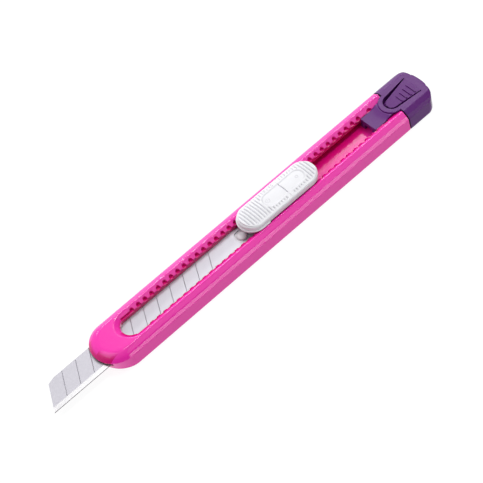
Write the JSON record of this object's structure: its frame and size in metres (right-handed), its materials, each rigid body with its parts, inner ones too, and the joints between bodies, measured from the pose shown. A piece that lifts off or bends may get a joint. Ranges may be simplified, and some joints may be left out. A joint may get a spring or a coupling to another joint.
{
  "type": "snap-off knife",
  "caption": "Slim snap-off utility knife: slotted plastic handle, thumb slider on a click rack, scored steel blade and a pull-off end cap.",
  "frame": {"origin": "middle of the handle's flat underside, halfway between the nose and the end of the cap", "axes": "+X from the blade's tip to the end cap, +Z out of the slotted top where the thumb slider is, cutting edge towards -Y"},
  "size_m": [0.1488, 0.0158, 0.009],
  "materials": {
    "handle_plastic": "glossy moulded plastic, magenta pink",
    "cap_plastic": "semi-gloss moulded plastic, deep purple",
    "button_plastic": "satin moulded plastic, white",
    "carrier_plastic": "satin moulded plastic, off-white",
    "spring_steel": "thin spring steel",
    "blade_steel": "fine-ground carbon steel, bright ground edge"
  },
  "bodies": {
    "handle": {"handle_body": "handle_plastic"},
    "slider": {"slider_button": "button_plastic", "blade_carrier": "carrier_plastic", "detent_spring": "spring_steel", "snap_blade": "blade_steel"},
    "cap": {"end_cap": "cap_plastic"}
  },
  "joints": [
    {"name": "blade_slide", "type": "slide", "parent": "handle", "child": "slider", "axis": [-1, 0, 0], "range_m": [-0.0225, 0.0425], "deforming": ["detent_spring"]},
    {"name": "cap_pull", "type": "slide", "parent": "handle", "child": "cap", "axis": [1, 0, 0], "range_m": [0, 0.025]}
  ]
}
